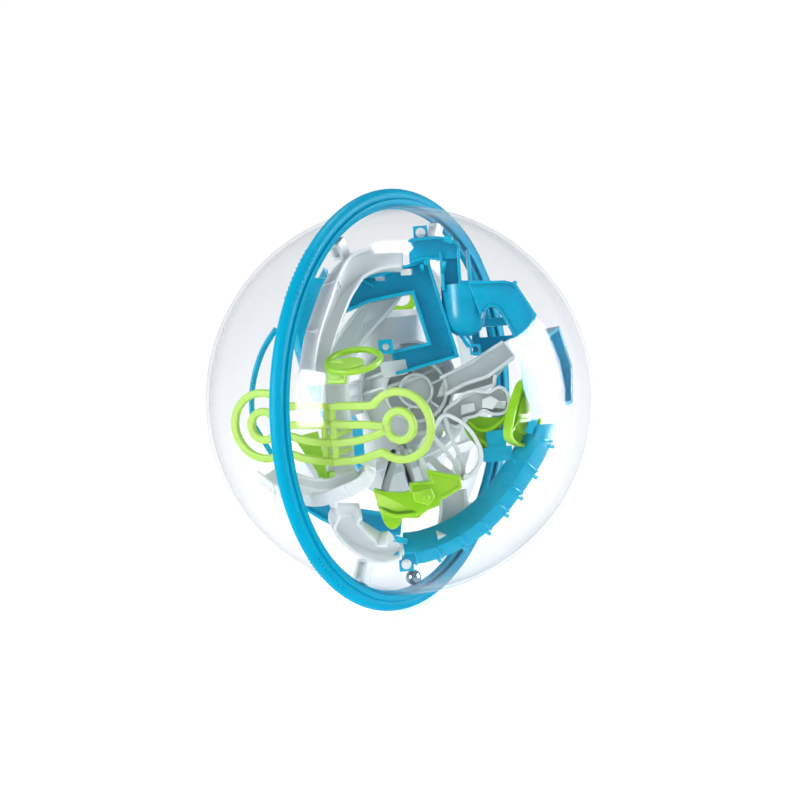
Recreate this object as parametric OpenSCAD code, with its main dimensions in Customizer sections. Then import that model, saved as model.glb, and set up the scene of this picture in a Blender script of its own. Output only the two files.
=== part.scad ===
// Tilt maze game: a clear ball in a grip rim, with a three-dimensional maze of
// plastic tracks inside it and one loose steel ball.
// The ball's centre is the origin. The rim stands in the XZ plane, its axis is Y,
// and +Z is up. Near is the -Y half, far is the +Y half.

/* [Ball and rim] */
// Outside diameter of the clear ball
ball_d = 196; // [190:1:236]
// Wall of the clear ball
ball_wall = 1.8; // [1.5:0.1:2.2]
// Outside diameter of the grip rim
rim_d = 213; // [208:1:256]
// Width of the rim along its axis
rim_w = 8.4; // [7.4:0.1:10]
// Radius of the rim's round outer bead
bead_r = 3.4; // [2.8:0.1:3.6]
// Width of the shells' edge flange, outwards from the ball
flange_w = 2; // [1.5:0.1:2.2]
// Thickness of the shells' edge flange
flange_t = 1.4; // [1.2:0.1:1.6]
// Thickness of the rim's web between the two shells
web_t = 2.4; // [2:0.1:2.8]
// Play between the shells and the rim
shell_play = 0.15; // [0.1:0.05:0.3]

/* [Steel ball] */
// Diameter of the loose steel ball
steel_d = 7.9; // [7:0.1:8.4]

/* [Tracks] */
// Outside width of the white tracks
white_w = 13; // [12:0.5:15]
// Outside width of the blue tracks
blue_w = 15; // [13:0.5:17]
// Height of the tracks' side walls
track_h = 8.5; // [7:0.5:10]
// Thickness of the tracks' walls and floors
track_t = 1.6; // [1.2:0.1:2]
// Height of the green rails
rail_h = 3.8; // [3:0.1:4.5]
// Thickness of the green rails
rail_t = 3; // [2:0.1:3.5]

/* [Pegs and clips] */
// Diameter of the round pegs
peg_d = 3; // [2.4:0.1:3.4]
// Play between a peg and its hole, all round
peg_play = 0.15; // [0.1:0.05:0.3]
// Play between the posts' tabs and their pockets in the rim, all round
tab_play = 0.05; // [0.02:0.01:0.1]

/* [Hidden] */
$fn = 48;

blue = [0.0, 0.62, 0.8];
white = [0.86, 0.87, 0.87];
green = [0.5, 0.78, 0.05];
steel = [0.6, 0.62, 0.64];
clear = [0.9, 0.92, 0.95, 0.25];

ball_r = ball_d / 2;
inner_r = ball_r - ball_wall;
flange_r = ball_r + flange_w;
rim_in = ball_r + shell_play;
bead_at = rim_d / 2 - bead_r;
maze_r = inner_r - 1.2;          // nothing in the maze lies further out
track_r = maze_r - track_h;      // floors of the tracks that open outwards

// The maze's front: degrees round from -X towards -Y, and degrees up
front_round = 34;
front_rise = 8;
link_depth = 1;
post_gap = 5;
post_wide = 6;
tab_t = 1.6;        // thickness along the rim's axis
tab_w = 6;
tab_l = 3;          // length inside the rim
posts = [[0, 62, 9.7], [0, -61, 12], [180, 62, 9.5], [180, -50, 9.5]];
loop_at = 36;       // middle of a rail loop, from the middle of the rails
loop_r = 17.7;
eye_r = 8.7;
square_w = 12;
cup_r = 10;
cup_at = 41;
hub_r = 20;
column_drop = 26;

// Steps between two chosen points of a curved track
curve_steps = 4;

// ---------- Places and curves ----------

// A point by its distance from the centre, its degrees round from -X towards -Y
// and its degrees up; the fourth value is how far a track leans to its right
function on(r, round, rise, lean = 0) = [
  -r * cos(rise) * cos(round),
  -r * cos(rise) * sin(round),
  r * sin(rise),
  lean
];

function unit(v) = v / norm(v);
function xyz(p) = [p[0], p[1], p[2]];

function curve(a, b, c, d, t) =
  0.5 * (2 * b + (c - a) * t + (2 * a - 5 * b + 4 * c - d) * t * t
  + (3 * b - a - 3 * c + d) * t * t * t);

// A smooth curve through the chosen points
function smooth(pts, steps = curve_steps) = let (last = len(pts) - 1) concat(
  [for (i = [0 : last - 1]) for (j = [0 : steps - 1])
    curve(pts[max(i - 1, 0)], pts[i], pts[i + 1], pts[min(i + 2, last)], j / steps)],
  [pts[last]]
);

// The outline's points at one place of a path
function section(path, i, outline) = let (
  p = xyz(path[i]),
  before = xyz(path[max(i - 1, 0)]),
  after = xyz(path[min(i + 1, len(path) - 1)]),
  along = unit(after - before),
  side = unit(cross(along, unit(p))),
  up = cross(side, along),
  lean = path[i][3],
  open = up * cos(lean) + side * sin(lean),
  across = side * cos(lean) - up * sin(lean)
) [for (q = outline) p + across * q[0] + open * q[1]];

function reversed(list) = [for (i = [len(list) - 1 : -1 : 0]) list[i]];

// An outline carried along a path; the ends are closed by the given faces
module sweep(path, outline, ends) {
  n = len(outline);
  rings = len(path);
  points = [for (i = [0 : rings - 1]) each section(path, i, outline)];
  sides = [for (i = [0 : rings - 2]) for (k = [0 : n - 1])
    let (a = i * n + k, b = i * n + (k + 1) % n)
    each [[a, b, b + n], [a, b + n, a + n]]];
  start = [for (f = ends) reversed(f)];
  finish = [for (f = ends) [for (k = f) k + (rings - 1) * n]];
  polyhedron(points, concat(sides, start, finish));
}

// An open channel; its floor's underside runs along the path
module channel(pts, w, h = track_h, t = track_t, steps = curve_steps) {
  outline = [
    [-w / 2, 0], [w / 2, 0], [w / 2, h], [w / 2 - t, h],
    [w / 2 - t, t], [t - w / 2, t], [t - w / 2, h], [-w / 2, h]
  ];
  sweep(smooth(pts, steps), outline, [[0, 1, 4, 5], [1, 2, 3, 4], [0, 5, 6, 7]]);
}

// A plain strip, such as a wall or a rail
module strip(pts, w, h, steps = curve_steps) {
  outline = [[-w / 2, 0], [w / 2, 0], [w / 2, h], [-w / 2, h]];
  sweep(smooth(pts, steps), outline, [[0, 1, 2, 3]]);
}

// Puts a shape at a place inside the ball: its +Z outwards and its +Y upwards
module at(round, rise, r, spin = 0, lean = 0) {
  rotate([0, rise, round])
    rotate([90, 0, -90])
    translate([0, 0, r])
    rotate([lean, 0, spin])
    children();
}

// Puts a shape square to the maze's front, at a distance in front of the centre
module front(depth) {
  at(front_round, front_rise, depth) children();
}

// Sideways unit vector of a segment
function seg_side(a, b) = let (d = unit(b - a)) [-d[1], d[0]];

// A polyline's point moved sideways, with mitred corners
function moved(p, i, s) = let (
  last = len(p) - 1,
  m = seg_side(p[max(i - 1, 0)], p[max(i, 1)]) + seg_side(p[min(i, last - 1)], p[min(i + 1, last)])
) p[i] + m * (2 * s / (m * m));

module band(p, s1, s2) {
  polygon(concat(
    [for (i = [0 : len(p) - 1]) moved(p, i, s1)],
    [for (i = [len(p) - 1 : -1 : 0]) moved(p, i, s2)]
  ));
}

// A polyline drawn out a little at both ends
function drawn_out(p, e = 1) = let (last = len(p) - 1) concat(
  [p[0] + e * unit(p[0] - p[1])],
  [for (i = [1 : last - 1]) p[i]],
  [p[last] + e * unit(p[last] - p[last - 1])]
);

// A channel whose path lies in one plane
module flat_channel(p, w, h = track_h, t = track_t) {
  difference() {
    linear_extrude(h) band(p, -w / 2, w / 2);
    translate([0, 0, t]) linear_extrude(h) band(drawn_out(p), t - w / 2, w / 2 - t);
  }
}

// A square bar from one point to another, set link_depth into the solid at each end
module link(from, to, w = 3) {
  v = to - from;
  translate(from) rotate([0, acos(v[2] / norm(v)), atan2(v[1], v[0])])
    translate([-w / 2, -w / 2, -link_depth]) cube([w, w, norm(v) + 2 * link_depth]);
}

module hoop(r_out, r_in, h) {
  difference() {
    cylinder(r = r_out, h = h);
    translate([0, 0, -1]) cylinder(r = r_in, h = h + 2);
  }
}

// ---------- Ball and rim ----------

module shell_half() {
  rotate_extrude($fn = 96) {
    difference() {
      circle(r = ball_r, $fn = 96);
      circle(r = inner_r, $fn = 96);
      translate([-2 * ball_r, -2 * ball_r]) square([2 * ball_r, 4 * ball_r]);
      translate([-1, -2 * ball_r]) square([2 * ball_r, 2 * ball_r + web_t / 2]);
    }
    translate([ball_r - ball_wall / 2, web_t / 2]) square([flange_w + ball_wall / 2, flange_t]);
  }
}

module shell_near() {
  color(clear) rotate([90, 0, 0]) shell_half();
}

module shell_far() {
  color(clear) rotate([-90, 0, 0]) shell_half();
}

module rim_half() {
  groove_w = flange_r + shell_play;
  rotate_extrude($fn = 96) {
    difference() {
      union() {
        translate([bead_at, 0]) circle(r = bead_r);
        translate([inner_r, 0]) square([bead_at - bead_r / 2 - inner_r, rim_w / 2]);
      }
      translate([0, -2 * rim_w]) square([2 * ball_r, 2 * rim_w]);
      translate([0, web_t / 2]) square([rim_in, rim_w]);
      translate([0, web_t / 2]) square([groove_w, flange_t + shell_play]);
    }
  }
}

module tab_pockets() {
  for (p = posts) post_tab(p[0], p[1], tab_play);
}

module rim_near() {
  color(blue) difference() {
    rotate([90, 0, 0]) rim_half();
    tab_pockets();
  }
}

module rim_far() {
  color(blue) difference() {
    rotate([-90, 0, 0]) rim_half();
    tab_pockets();
  }
}

// ---------- Steel ball ----------

module steel_ball() {
  color(steel) translate([0, 0, -(inner_r - steel_d / 2 - shell_play)]) sphere(d = steel_d);
}

// ---------- Tracks along the rim ----------

module white_track_top() {
  color(white) channel([
    on(81, 0, 15, 90), on(81, 0, 28, 90), on(81, 1, 43, 85),
    [-50, -1, 63, 75], [-39, -4, 70, 60], [-30, -13, 73, 50], [-24, -24, 73, 45]
  ], white_w);
  color(white) link([-26, -25, 67], [-25, -28, 67]);
}

// Two fins on a bridge, from a track out to the rim, with a tab for the rim's web
module rim_post(round, rise, length) {
  at(round, rise, inner_r - length) {
    for (side = [-1, 1])
      translate([side * post_gap / 2 - track_t / 2, -post_wide / 2, 0])
        cube([track_t, post_wide, length - 0.2]);
    for (z = [0, length - 0.2 - track_t])
      translate([-post_gap / 2, -post_wide / 2, z]) cube([post_gap, post_wide, track_t]);
  }
  post_tab(round, rise, 0);
}

// Tab that the two halves of the rim clamp between them
module post_tab(round, rise, play) {
  at(round, rise, inner_r) {
    translate([-tab_t / 2 - play, -tab_w / 2 - play, -2])
      cube([tab_t + 2 * play, tab_w + 2 * play, tab_l + 2 + play]);
  }
}

module post_top() {
  color(white) rim_post(posts[0][0], posts[0][1], posts[0][2]);
}

module post_bottom() {
  color(white) rim_post(posts[1][0], posts[1][1], posts[1][2]);
}

module post_far_top() {
  color(white) rim_post(posts[2][0], posts[2][1], posts[2][2]);
}

module post_far_bottom() {
  color(white) rim_post(posts[3][0], posts[3][1], posts[3][2]);
}

module white_track_bottom() {
  color(white) channel([
    on(82, 27, -46, 10), on(82, 18, -48, 20), on(81, 8, -42, 35), on(81, 5, -34, 40),
    on(81, 10, -28, 35)
  ], white_w);
  color(white) link([-52, -12, -66], [-43, -3, -72], 4);
  color(white) link([-76, -9, -38], [-76, -9, -35]);
}

module white_bowl() {
  color(white) channel([
    on(82, -26, -19, -90), on(82, -14, -24, -90), on(82, 0, -26, -90), on(80, 11, -24, -90),
    on(74, 19, -22, -90), on(66, 21, -19, -90)
  ], white_w, h = 7);
}

// ---------- Blue tracks of the near half ----------

module blue_track_top() {
  color(blue) channel([
    [-23, -26, 73, 45], [-19, -34, 72, 30], [-15, -41, 70, 15], [-11, -48, 67, 5]
  ], blue_w);
  color(blue) link([-12, -45, 69], [-11, -43, 65]);
}

module blue_column() {
  color(blue) front(28) translate([25, 62, 0]) rotate([90, 0, 0]) {
    cube([track_t, blue_w, column_drop]);
    for (z = [0, blue_w - track_t]) translate([0, z, 0]) cube([5, track_t, column_drop]);
  }
  color(blue) link([-12, -44, 48], [-10, -45, 47]);
}

module blue_cup() {
  color(blue) front(34) difference() {
    translate([cup_at, 54, 0]) rotate([90, 0, 0]) rotate_extrude(angle = 180)
      translate([cup_r, 0]) square([track_t, 25]);
    translate([0, 0, -20]) linear_extrude(40)
      polygon([[30, 28], [46, 43], [60, 43], [60, 20], [30, 20]]);
  }
  color(blue) link([6, -59, 47], [14, -54, 41]);
}

module blue_shelf() {
  color(blue) front(14) {
    translate([38, 19, 0]) cube([22, track_t, 14]);
    translate([38, 19, 0]) cube([22, 9, track_t]);
    translate([38, 33, 0]) cube([22, 4, 10]);
    translate([38, 19, 0]) cube([4, 18, track_t]);
  }
}

module blue_track_upper() {
  color(blue) channel([
    on(80, 96, 40, 35), on(80, 92, 36, 35), on(80, 87, 29, 30), on(80, 84, 23, 25)
  ], blue_w - 2);
  color(blue) link([-7.5, -73.5, 31.2], [-5.5, -79.1, 28.1]);
}

module tray(h) {
  linear_extrude(track_t) children();
  linear_extrude(h) difference() {
    children();
    offset(delta = -track_t) children();
  }
}

module blue_basin() {
  color(blue) at(94, 9, 80) tray(track_h)
    polygon([[-18, 15], [15, 21], [20, 0], [12, -17], [-14, -18], [-20, -4]]);
  color(blue) link([-9, -83, -5], [-12, -81, -12]);
}

module blue_track_right() {
  color(blue) channel([
    on(81, 84, -6, -75), on(81, 83, -12, -75), on(81, 77, -20, -75), on(81, 72, -27, -75),
    on(81, 67, -34, -75), on(81, 61, -40, -75), on(81, 51, -46, -75), on(81, 39, -50, -75),
    on(81, 30, -50, -70)
  ], blue_w - 1, steps = 2);
  color(blue) link([-46.2, -27.5, -61], [-51, -25, -59]);
}

// ---------- Green rails ----------

module rail_line(pts) {
  linear_extrude(rail_t) band(smooth(pts), -rail_h / 2, rail_h / 2);
}

module rail_half() {
  difference() {
    translate([loop_at, 0, 0]) hoop(loop_r, loop_r - rail_h, rail_t);
    translate([loop_at, 0, -1]) linear_extrude(rail_t + 2)
      polygon([[0, 0], [-30, 23], [-30, -34]]);
  }
  translate([loop_at, 0, 0]) hoop(eye_r, eye_r - rail_h, rail_t);
  rail_line([
    [22, 9.5], [14, 9.3], [5, 9.3], [0, 7.5], [-1, 4.5], [0, 1.8], [6, 0.3], [20, 0.3], [29, -0.5]
  ]);
  rail_line([[29, -2], [23, -4.5], [14, -6.8], [0, -8.3]]);
  rail_line([[24.5, -13.5], [22, -13], [13.5, -16], [0, -17.4]]);
}

module green_rails() {
  color(green) at(8, 0, 75) {
    rail_half();
    mirror([1, 0, 0]) rail_half();
    for (x = [-4, 1])
      translate([x - rail_t / 2, -18, -1]) cube([rail_t, 18, rail_t]);
    for (y = [-18, -9]) translate([-8.5, y, -32]) cube([2.4, 2.4, 33]);
  }
}

module green_oval() {
  color(green) at(20, 22, 77, lean = -48) hoop(14.5, 14.5 - rail_h, rail_t);
  color(green) at(12, 19, 79) difference() {
    translate([-4.5, -5, 0]) cube([9, 10, 3.5]);
    translate([0, 0, -1]) cylinder(d = peg_d + 2 * peg_play, h = 6);
  }
  color(green) link([-74, -20, 24], [-70, -24, 24], 3);
  color(green) link([-74, -13, 24], [-71, -8, 24], 3);
}

module peg_oval() {
  color(white) at(12, 19, 75.9) peg();
}

// ---------- White inner tracks and hub ----------

module white_ladder() {
  color(white) front(26) flat_channel(smooth([
    [-31, -34], [-31, -10], [-31, 10], [-27, 24], [-17, 37], [-4, 50], [1, 57]
  ]), white_w);
  color(white) link([-24, -11, 64], [-31, -14, 67], 4);
  color(white) link([-36, 6, 0], [-20, 4, 0], 4);
  color(white) link([-26, 2, 40], [-20, 1, 40], 4);
}

module blue_square_track() {
  color(blue) front(36) flat_channel(
    [[-22, 43], [13, 55], [21, 21], [-3, 16]], square_w, h = 10);
}

module hub_core() {
  color(white) translate([0, 0, -44]) hoop(hub_r, hub_r - 2, 88);
  color(white) link([19, 0, 40], [63, 0, 40], 5);
  color(white) link([19, 0, -34], [66, 0, -34], 5);
}

module hub_drum() {
  color(white) front(30.5) translate([10, 5, 0]) hoop(13.5, 11.5, 5.3);
  color(white) link([-24, -19, 22], [-16, -13, 22]);
}

module hub_ramp() {
  color(white) channel([for (a = [0 : 30 : 540])
    [-24.4 * cos(a), -24.4 * sin(a), a / 9 - 30, 0]], 9, h = 5, steps = 2);
}

module hub_arm_track() {
  color(white) front(29) flat_channel([[27, -2], [42, 6], [58, 18]], 11);
  color(white) link([-10, -36, 7], [-6, -19, 7], 4);
}

module hub_platform() {
  color(white) front(39) tray(8)
    polygon([[27, 2], [52, 4], [52, -9], [34, -10]]);
  color(white) link([-8, -57, 6], [-7, -56, 6], 4);
}

module hub_legs() {
  color(white) front(32) {
    for (x = [-14, 2, 10])
      translate([x, -46, 0]) rotate([0, 0, x > 0 ? 15 : -20]) cube([4, 24, 8]);
    translate([-14, -28, 0]) cube([24, 4, 8]);
  }
  color(white) link([-29, -19, -17], [-17, -11, -17], 4);
}

// A closed outline's point moved inwards, with mitred corners
function inset(p, i, s) = let (
  n = len(p),
  m = seg_side(p[(i + n - 1) % n], p[i]) + seg_side(p[i], p[(i + 1) % n])
) p[i] + m * (2 * s / (m * m));

// A wall that follows a closed outline, given clockwise
module loop_wall(p, h, t = track_t) {
  linear_extrude(h) difference() {
    polygon(p);
    polygon([for (i = [0 : len(p) - 1]) inset(p, i, -t)]);
  }
}

module white_paddle() {
  color(white) front(46) {
    loop_wall([
      [19, -7], [26, -12], [32, -20], [36, -27], [36, -33], [32, -38], [26, -41], [18, -40],
      [10, -36], [6, -30], [6, -23], [11, -14]
    ], 9);
    linear_extrude(2.4) polygon([[13.5, -12.5], [17, -9.5], [27, -39.5], [23, -39.8]]);
    translate([29.5, -38.5, 3]) cylinder(d = peg_d, h = 8);
  }
  color(white) link([-24, -51, -8], [-20, -55, -3]);
}

// ---------- Green walls and saddles ----------

module green_wave() {
  color(green) at(37, -25, 74) linear_extrude(7) polygon([
    [-20, 4], [-3, -1], [-1, 5], [5, 6], [8, 11], [19, 6], [22, 1],
    [12, -6], [11, -10], [0, -11], [-19, -6]
  ]);
  color(green) link([-48, -50, -43], [-45, -52, -50]);
}

module green_wave_lower() {
  color(green) at(33, -32, 73) linear_extrude(5) polygon([
    [-14, -5], [-12, -9], [-10, -17], [-5, -16], [-2, -11], [5, -12], [5, -6]
  ]);
  color(green) link([-48, -36, -45], [-50, -38, -41]);
}

module green_saddle() {
  color(green) front(30) linear_extrude(8) polygon([
    [28, -13], [32, -9], [46, -11], [51, -7], [46, -14], [39, -22], [37, -28], [34, -22]
  ]);
  color(green) link([-13, -48, -4], [-14, -46, -1]);
}

module green_leaf() {
  color(green) at(71, 0, 73) linear_extrude(3) polygon([
    [-2, -10], [-1, 2], [4, 10], [10, 13], [15, 10], [16, -4], [12, -16], [6, -18], [1, -15]
  ]);
  color(green) link([-13, -76, 10], [-13, -80, 10]);
}

module green_wedge() {
  color(green) front(36) linear_extrude(8) polygon([
    [-53, -14], [-41, -12], [-39, -24], [-38, -34], [-40, -40], [-43, -31]
  ]);
  color(green) link([-55, 9, -29], [-52, 9, -29], 4);
}

module white_short_track() {
  color(white) front(30) flat_channel([[22, -46], [22, -56], [20, -66]], 14);
  color(white) link([-31, -38, -59], [-37, -43, -61], 4);
}

module blue_arc() {
  color(blue) strip([
    on(81, -22, 33), on(81, -26, 25), on(81, -28, 15), on(81, -28, 6), on(81, -27, -2)
  ], 2.4, 2);
  color(blue) link([-73, 36, -3], [-68, 30, -19], 2.4);
}

module blue_crosspiece() {
  color(blue) front(39) {
    translate([38, -33, 0]) cube([14, 7, 8]);
    translate([40, -26, 2]) cube([9, 8, 5]);
  }
  color(blue) link([-13, -72, -26], [-16, -76, -27]);
}

module blue_low_track() {
  color(blue) front(-20) flat_channel(smooth([[-52, -46], [-38, -56], [-20, -61], [-4, -64]]), 11);
}

// ---------- Tracks of the far half ----------

module far_blue_track() {
  color(blue) channel([
    on(80, -98, 50, 20), on(80, -104, 34, 10), on(80, -112, 14, 0), on(80, -120, -8, 0),
    on(80, -130, -30, 10), on(80, -146, -44, 20)
  ], blue_w);
  color(blue) link([52, 29, -50], [55, 9, -52], 4);
}

module far_white_track() {
  color(white) channel([
    on(81, 180, 62, -90), on(81, 180, 38, -90), on(81, 180, 16, -90), on(81, 180, -6, -90),
    on(81, 180, -28, -90), on(81, 180, -51, -90)
  ], white_w);
}

module far_green_rails() {
  color(green) at(-150, 8, 72, spin = 90) {
    rail_half();
    mirror([1, 0, 0]) rail_half();
    for (x = [-4, 1])
      translate([x - rail_t / 2, -18, -1]) cube([rail_t, 18, rail_t]);
  }
  color(green) link([65, 18, 50], [68, 8, 52]);
}

module far_white_steps() {
  color(white) at(-95, -38, 62) for (k = [0 : 3])
    translate([8 * k - 16, -8, 0]) cube([8, 16, 5 + 3 * k]);
  color(white) link([3, 44, -44], [2, 20, -42], 5);
  color(white) link([-12, 46, -45], [-14, 46, -46]);
}

// ---------- Frame that holds the tracks ----------

module clip(w) {
  linear_extrude(5) difference() {
    translate([-w / 2, -w / 2]) square([w, w]);
    circle(d = peg_d + 2 * peg_play);
  }
}

module clip_top() {
  color(blue) front(36) translate([16, 80, 0]) clip(7);
  color(blue) link([-18, -27, 81], [-19, -27, 80]);
}

module clip_bottom() {
  color(blue) front(42) translate([-3, -79, 0]) clip(7);
  color(blue) link([-51, -27, -68], [-51, -26, -67]);
}

module clip_middle() {
  color(blue) front(46) translate([-5, 26, 0]) clip(7);
}

module clip_right() {
  color(blue) front(42) translate([38, 21.5, 0]) clip(5);
  color(blue) link([-12, -51, 30], [-12, -47, 36]);
}

// A headed peg, pushed through a clip
module peg() {
  cylinder(d = peg_d, h = 8);
  translate([0, 0, 5]) cylinder(d = peg_d + 1.8, h = 1.6);
}

module peg_top() {
  color(white) front(36) translate([16, 80, 0]) peg();
}

module peg_bottom() {
  color(white) front(42) translate([-3, -79, 0]) peg();
}

shell_near();
shell_far();
rim_near();
rim_far();
steel_ball();
white_track_top();
post_top();
post_bottom();
post_far_top();
post_far_bottom();
blue_track_top();
blue_column();
blue_cup();
blue_shelf();
blue_track_upper();
blue_basin();
blue_track_right();
white_track_bottom();
white_bowl();
green_rails();
green_oval();
white_ladder();
blue_square_track();
hub_core();
hub_drum();
hub_ramp();
hub_arm_track();
hub_platform();
hub_legs();
white_paddle();
green_wave();
green_wave_lower();
green_saddle();
green_leaf();
green_wedge();
white_short_track();
blue_arc();
blue_crosspiece();
blue_low_track();
far_blue_track();
far_white_track();
far_green_rails();
far_white_steps();
clip_top();
clip_bottom();
clip_middle();
clip_right();
peg_top();
peg_bottom();
peg_oval();
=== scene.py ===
import math

import bmesh
import bpy
from mathutils import Matrix, Vector


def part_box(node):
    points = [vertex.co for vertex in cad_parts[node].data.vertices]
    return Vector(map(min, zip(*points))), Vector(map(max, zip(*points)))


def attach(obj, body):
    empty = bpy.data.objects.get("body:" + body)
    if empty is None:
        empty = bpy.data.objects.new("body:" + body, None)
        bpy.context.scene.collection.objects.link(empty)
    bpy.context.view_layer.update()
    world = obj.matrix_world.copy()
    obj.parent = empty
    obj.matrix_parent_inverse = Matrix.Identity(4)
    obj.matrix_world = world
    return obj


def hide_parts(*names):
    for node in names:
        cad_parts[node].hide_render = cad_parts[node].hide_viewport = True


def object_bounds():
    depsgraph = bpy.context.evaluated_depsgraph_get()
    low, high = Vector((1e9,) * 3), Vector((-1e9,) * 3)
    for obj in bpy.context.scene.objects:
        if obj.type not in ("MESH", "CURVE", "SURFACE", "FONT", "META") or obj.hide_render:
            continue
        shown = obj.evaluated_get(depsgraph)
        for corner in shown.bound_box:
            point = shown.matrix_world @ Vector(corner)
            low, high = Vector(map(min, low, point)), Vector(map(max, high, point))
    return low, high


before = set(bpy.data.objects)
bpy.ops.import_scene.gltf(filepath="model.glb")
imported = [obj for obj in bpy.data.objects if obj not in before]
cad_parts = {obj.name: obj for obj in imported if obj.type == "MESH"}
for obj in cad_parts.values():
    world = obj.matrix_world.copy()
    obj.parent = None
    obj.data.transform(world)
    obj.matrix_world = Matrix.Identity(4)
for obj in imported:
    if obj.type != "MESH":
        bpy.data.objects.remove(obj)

bl_info = {
    "name": "Tilt maze game",
    "version": (1, 0, 0),
    "blender": (4, 5, 0),
    "location": "View3D > Sidebar > Tilt Maze",
    "description": "A clear ball in a grip rim, with a maze of moulded tracks and a steel ball",
    "category": "Add Mesh",
}

MM = 0.001
MAZE = "maze"
LOOSE = "ball"
CAD_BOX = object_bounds()
WHITE = (1.0, 1.0, 1.0, 1.0)

# ---------- Sizes and colours a user would change ----------

RIM_LOW, RIM_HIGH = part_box("rim_near")
RIM_R = (RIM_HIGH.x - RIM_LOW.x) / 2
RIM_HALF_W = -RIM_LOW.y
SHELL_LOW, SHELL_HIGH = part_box("shell_near")
BALL_R = -SHELL_LOW.y
FLANGE_R = (SHELL_HIGH.x - SHELL_LOW.x) / 2


class RimSizes(bpy.types.PropertyGroup):
    radius: bpy.props.FloatProperty(
        name="Radius", description="Outside radius of the grip rim",
        default=RIM_R, unit="LENGTH", precision=4)
    half_width: bpy.props.FloatProperty(
        name="Half width", description="From the seam to one face of the rim",
        default=RIM_HALF_W, unit="LENGTH", precision=4)
    bead: bpy.props.FloatProperty(
        name="Bead radius", description="Radius of the rim's round outer bead",
        default=3.4 * MM, unit="LENGTH", precision=4)
    marks: bpy.props.IntProperty(
        name="Raised marks", description="Raised dashes on each patch of the rim's bead",
        default=11, min=3, max=40)


class ShellSizes(bpy.types.PropertyGroup):
    radius: bpy.props.FloatProperty(
        name="Radius", description="Outside radius of the clear ball",
        default=BALL_R, unit="LENGTH", precision=4)
    wall: bpy.props.FloatProperty(
        name="Wall", description="Wall of the clear ball",
        default=1.8 * MM, unit="LENGTH", precision=4)
    flange: bpy.props.FloatProperty(
        name="Flange", description="Thickness of the shells' edge flange",
        default=1.4 * MM, unit="LENGTH", precision=4)
    seam: bpy.props.FloatProperty(
        name="Seam gap", description="Half the rim's web, between the two shells",
        default=1.2 * MM, unit="LENGTH", precision=4)


class PlasticSizes(bpy.types.PropertyGroup):
    round_edge: bpy.props.FloatProperty(
        name="Edge radius", description="Rounding of the moulded tracks' edges",
        default=0.35 * MM, unit="LENGTH", precision=5)
    rail_edge: bpy.props.FloatProperty(
        name="Rail edge radius", description="Rounding of the green rails' edges",
        default=0.95 * MM, unit="LENGTH", precision=5)
    mark_height: bpy.props.FloatProperty(
        name="Mark height", description="Height of the raised numbers and arrows",
        default=0.55 * MM, unit="LENGTH", precision=5)


class Colours(bpy.types.PropertyGroup):
    blue: bpy.props.FloatVectorProperty(
        name="Blue", description="Blue tracks and rim", subtype="COLOR",
        size=4, min=0, max=1, default=(0.0, 0.33, 0.53, 1.0))
    rim: bpy.props.FloatVectorProperty(
        name="Rim blue", description="The grip rim's deeper blue", subtype="COLOR",
        size=4, min=0, max=1, default=(0.0, 0.31, 0.51, 1.0))
    # The pale colours tint the flow clouds and paint a highlight on the plastics' sharp edges
    blue_pale: bpy.props.FloatVectorProperty(
        name="Pale blue", description="Thin edges of the blue plastic", subtype="COLOR",
        size=4, min=0, max=1, default=(0.0, 0.50, 0.74, 1.0))
    green: bpy.props.FloatVectorProperty(
        name="Green", description="Green rails and walls", subtype="COLOR",
        size=4, min=0, max=1, default=(0.26, 0.60, 0.0, 1.0))
    green_pale: bpy.props.FloatVectorProperty(
        name="Pale green", description="Thin edges of the green plastic", subtype="COLOR",
        size=4, min=0, max=1, default=(0.60, 0.86, 0.16, 1.0))
    # Painted light: the front rails get a paler copy of the green, for the light that falls on
    # them near the shell
    rail: bpy.props.FloatVectorProperty(
        name="Rail green", description="The front rails, thin and lit through", subtype="COLOR",
        size=4, min=0, max=1, default=(0.42, 0.68, 0.10, 1.0))
    white: bpy.props.FloatVectorProperty(
        name="White", description="White tracks and hub", subtype="COLOR",
        size=4, min=0, max=1, default=(0.68, 0.725, 0.735, 1.0))
    white_pale: bpy.props.FloatVectorProperty(
        name="Pale white", description="Thin edges of the white plastic", subtype="COLOR",
        size=4, min=0, max=1, default=(0.84, 0.88, 0.89, 1.0))
    clear: bpy.props.FloatVectorProperty(
        name="Clear", description="Light that passes the clear plastic", subtype="COLOR",
        size=4, min=0, max=1, default=(0.948, 0.954, 0.963, 1.0))
    steel: bpy.props.FloatVectorProperty(
        name="Steel", description="The steel ball", subtype="COLOR",
        size=4, min=0, max=1, default=(0.20, 0.29, 0.35, 1.0))
    floor: bpy.props.FloatVectorProperty(
        name="Floor", description="The floor and the room", subtype="COLOR",
        size=4, min=0, max=1, default=(0.97, 0.97, 0.97, 1.0))


class StageSizes(bpy.types.PropertyGroup):
    distance: bpy.props.FloatProperty(
        name="Camera distance", description="From the camera to the ball's centre",
        default=0.965, unit="LENGTH")
    azimuth: bpy.props.FloatProperty(
        name="Camera azimuth", description="Camera's place round the ball, from +X",
        default=math.radians(-146.1), subtype="ANGLE")
    elevation: bpy.props.FloatProperty(
        name="Camera elevation", description="Camera's height above the ball's middle",
        default=math.radians(8.0), subtype="ANGLE")
    roll: bpy.props.FloatProperty(
        name="Camera roll", description="Turn of the camera about its line of sight",
        default=math.radians(-4.35), subtype="ANGLE")
    lens: bpy.props.FloatProperty(
        name="Lens", description="Focal length on a 36 mm sensor", default=85.8, unit="CAMERA")
    room_light: bpy.props.FloatProperty(
        name="Room light", description="Brightness of the walls all round", default=1.03, min=0)
    ceiling_light: bpy.props.FloatProperty(
        name="Ceiling light", description="Brightness of the ceiling", default=0.35, min=0)


def sizes(group):
    """One of the scene's property groups."""
    return getattr(bpy.context.scene, "tilt_maze_" + group)


# ---------- Shader maths ----------

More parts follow.
